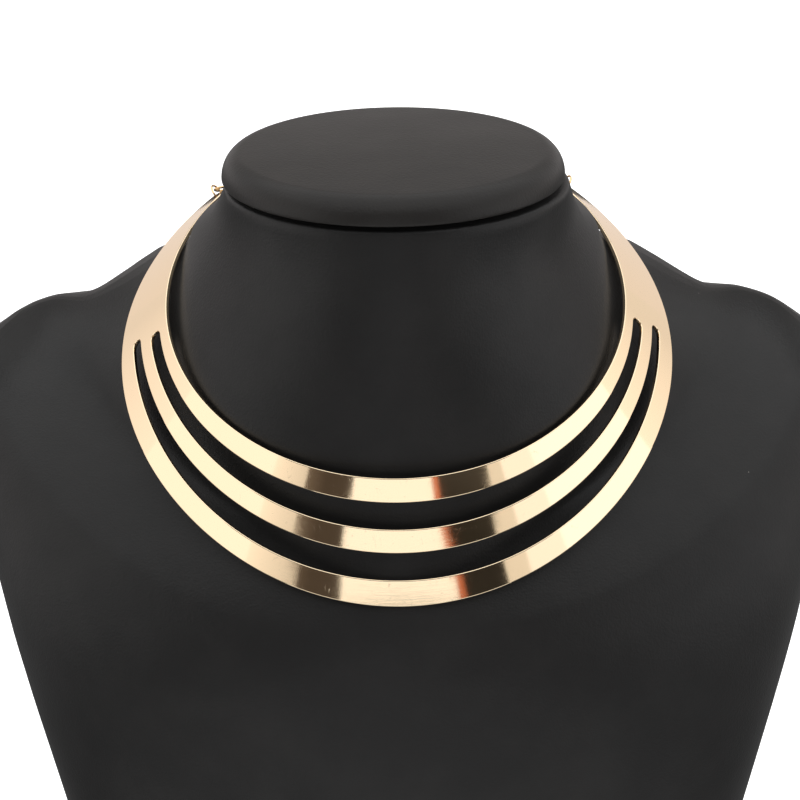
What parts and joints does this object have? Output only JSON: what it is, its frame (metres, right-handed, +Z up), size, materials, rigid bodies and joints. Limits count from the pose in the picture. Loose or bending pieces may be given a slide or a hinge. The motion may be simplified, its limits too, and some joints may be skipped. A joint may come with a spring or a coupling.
{
  "type": "layered choker necklace on a neck bust",
  "caption": "Rigid gold collar choker whose front is cut into three bands, closed by a short chain and clasp, on a black leatherette neck bust.",
  "frame": {"origin": "middle of the flat base that the neck bust stands on", "axes": "+Z up, the front of the bust and the three bands face -Y, +X to the right as seen from the front"},
  "size_m": [0.2515, 0.1315, 0.2897],
  "materials": {
    "polished_gold": "polished gold plating with fine hairline scratches",
    "gold_findings": "polished gold plated wire",
    "black_leatherette": "black leatherette, fine grain, soft sheen",
    "black_cap": "black leatherette over padding, fine grain, soft sheen"
  },
  "bodies": {
    "root": {"bust_body": "black_leatherette", "neck_cap": "black_cap", "collar": "polished_gold", "jump_ring_left": "gold_findings", "jump_ring_right": "gold_findings", "chain_link_01": "gold_findings", "chain_link_02": "gold_findings", "chain_link_03": "gold_findings", "chain_link_04": "gold_findings", "chain_link_05": "gold_findings", "chain_link_06": "gold_findings", "chain_link_07": "gold_findings", "chain_link_08": "gold_findings", "chain_link_09": "gold_findings", "chain_link_10": "gold_findings", "chain_link_11": "gold_findings", "chain_link_12": "gold_findings", "chain_link_13": "gold_findings", "chain_link_14": "gold_findings", "chain_link_15": "gold_findings", "chain_link_16": "gold_findings", "chain_link_17": "gold_findings", "chain_link_18": "gold_findings", "chain_link_19": "gold_findings", "chain_link_20": "gold_findings", "chain_link_21": "gold_findings", "chain_link_22": "gold_findings", "chain_link_23": "gold_findings", "chain_link_24": "gold_findings", "chain_link_25": "gold_findings", "chain_link_26": "gold_findings", "clasp": "gold_findings"}
  },
  "joints": []
}
